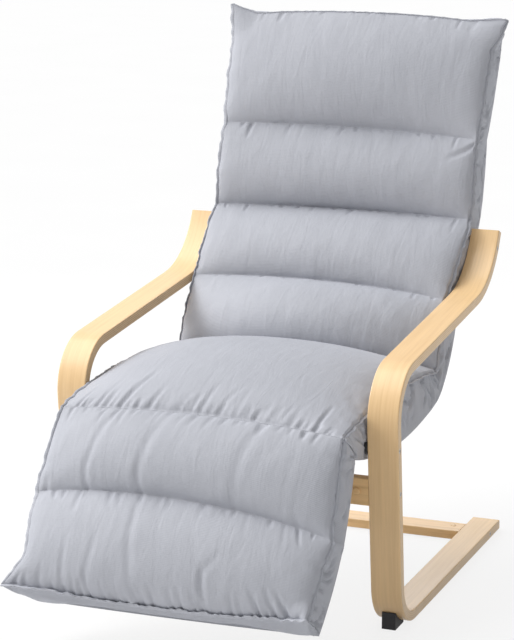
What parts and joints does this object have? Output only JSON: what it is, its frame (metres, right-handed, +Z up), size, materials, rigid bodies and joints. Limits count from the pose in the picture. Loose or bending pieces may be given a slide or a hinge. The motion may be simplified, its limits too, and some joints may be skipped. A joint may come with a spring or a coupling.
{
  "type": "reflexology chair",
  "caption": "Lounge chair for foot treatment: bent plywood cantilever arms, channelled grey fabric cushion, ratcheted reclining back and a tilting legrest.",
  "frame": {"origin": "centre of the chair's outline on the floor, at the height of the rear glides' and front feet's undersides", "axes": "+Z up, the chair faces -Y, +X is the sitter's left, which is the right of the picture"},
  "size_m": [0.69, 1.1567, 1.0921],
  "materials": {
    "birch_plywood": "clear satin lacquer",
    "solid_birch": "clear satin lacquer",
    "black_rubber": "matt",
    "cushion_fabric": "finely ribbed, slightly sheeny",
    "elastic_webbing": "woven",
    "plated_steel": "bright zinc plate",
    "bare_steel": "pressed, lightly oiled",
    "black_steel": "black powder coat"
  },
  "bodies": {
    "seat_frame": {"arm_bolts": "plated_steel", "arm_cross_tube": "black_steel", "arm_tube_plugs": "bare_steel", "back_ratchet_wheel_left": "bare_steel", "back_ratchet_wheel_right": "bare_steel", "crossbar_bolts": "plated_steel", "crossbar_dowel_nuts": "bare_steel", "floor_crossbar": "solid_birch", "front_cross_tube": "black_steel", "front_foot_left": "black_rubber", "front_foot_right": "black_rubber", "front_rail": "solid_birch", "front_rail_bolts": "plated_steel", "front_rail_dowel_nuts": "bare_steel", "front_tube_bolts": "plated_steel", "front_tube_plugs": "bare_steel", "legrest_ratchet_wheel_left": "bare_steel", "legrest_ratchet_wheel_right": "bare_steel", "lower_back_cushion": "cushion_fabric", "lower_back_webbing": "elastic_webbing", "rear_glides": "black_rubber", "seat_corner_tube": "black_steel", "seat_cushion": "cushion_fabric", "seat_side_tube_left": "black_steel", "seat_side_tube_right": "black_steel", "seat_webbing": "elastic_webbing", "side_frame_left": "birch_plywood", "side_frame_right": "birch_plywood"},
    "upper_back": {"upper_back_loop": "black_steel", "upper_back_webbing": "elastic_webbing", "upper_back_cushion": "cushion_fabric", "back_outer_cheek_left": "bare_steel", "back_outer_cheek_right": "bare_steel", "back_inner_cheek_left": "bare_steel", "back_inner_cheek_right": "bare_steel", "back_pawl_spring_left": "plated_steel", "back_pawl_spring_right": "plated_steel", "back_hinge_rivets": "plated_steel", "back_pawl_pins": "plated_steel"},
    "legrest": {"legrest_loop": "black_steel", "legrest_webbing": "elastic_webbing", "legrest_cushion": "cushion_fabric", "legrest_outer_cheek_left": "bare_steel", "legrest_outer_cheek_right": "bare_steel", "legrest_inner_cheek_left": "bare_steel", "legrest_inner_cheek_right": "bare_steel", "legrest_pawl_spring_left": "plated_steel", "legrest_pawl_spring_right": "plated_steel", "legrest_hinge_rivets": "plated_steel", "legrest_pawl_pins": "plated_steel"},
    "back_pawls": {"back_pawl_left": "bare_steel", "back_pawl_right": "bare_steel"},
    "legrest_pawls": {"legrest_pawl_left": "bare_steel", "legrest_pawl_right": "bare_steel"}
  },
  "joints": [
    {"name": "back_recline", "type": "hinge", "parent": "seat_frame", "child": "upper_back", "pos_m": [0, 0.40558, 0.65157], "axis": [1, 0, 0], "range_deg": [-22.5, 30]},
    {"name": "legrest_tilt", "type": "hinge", "parent": "seat_frame", "child": "legrest", "pos_m": [0, -0.35629, 0.3828], "axis": [-1, 0, 0], "range_deg": [-15, 60]},
    {"name": "back_pawl_turn", "type": "hinge", "parent": "upper_back", "child": "back_pawls", "pos_m": [0, 0.39913, 0.68066], "axis": [-1, 0, 0], "range_deg": [0, 8.5]},
    {"name": "legrest_pawl_turn", "type": "hinge", "parent": "legrest", "child": "legrest_pawls", "pos_m": [0, -0.38209, 0.3679], "axis": [1, 0, 0], "range_deg": [0, 8.5]}
  ]
}
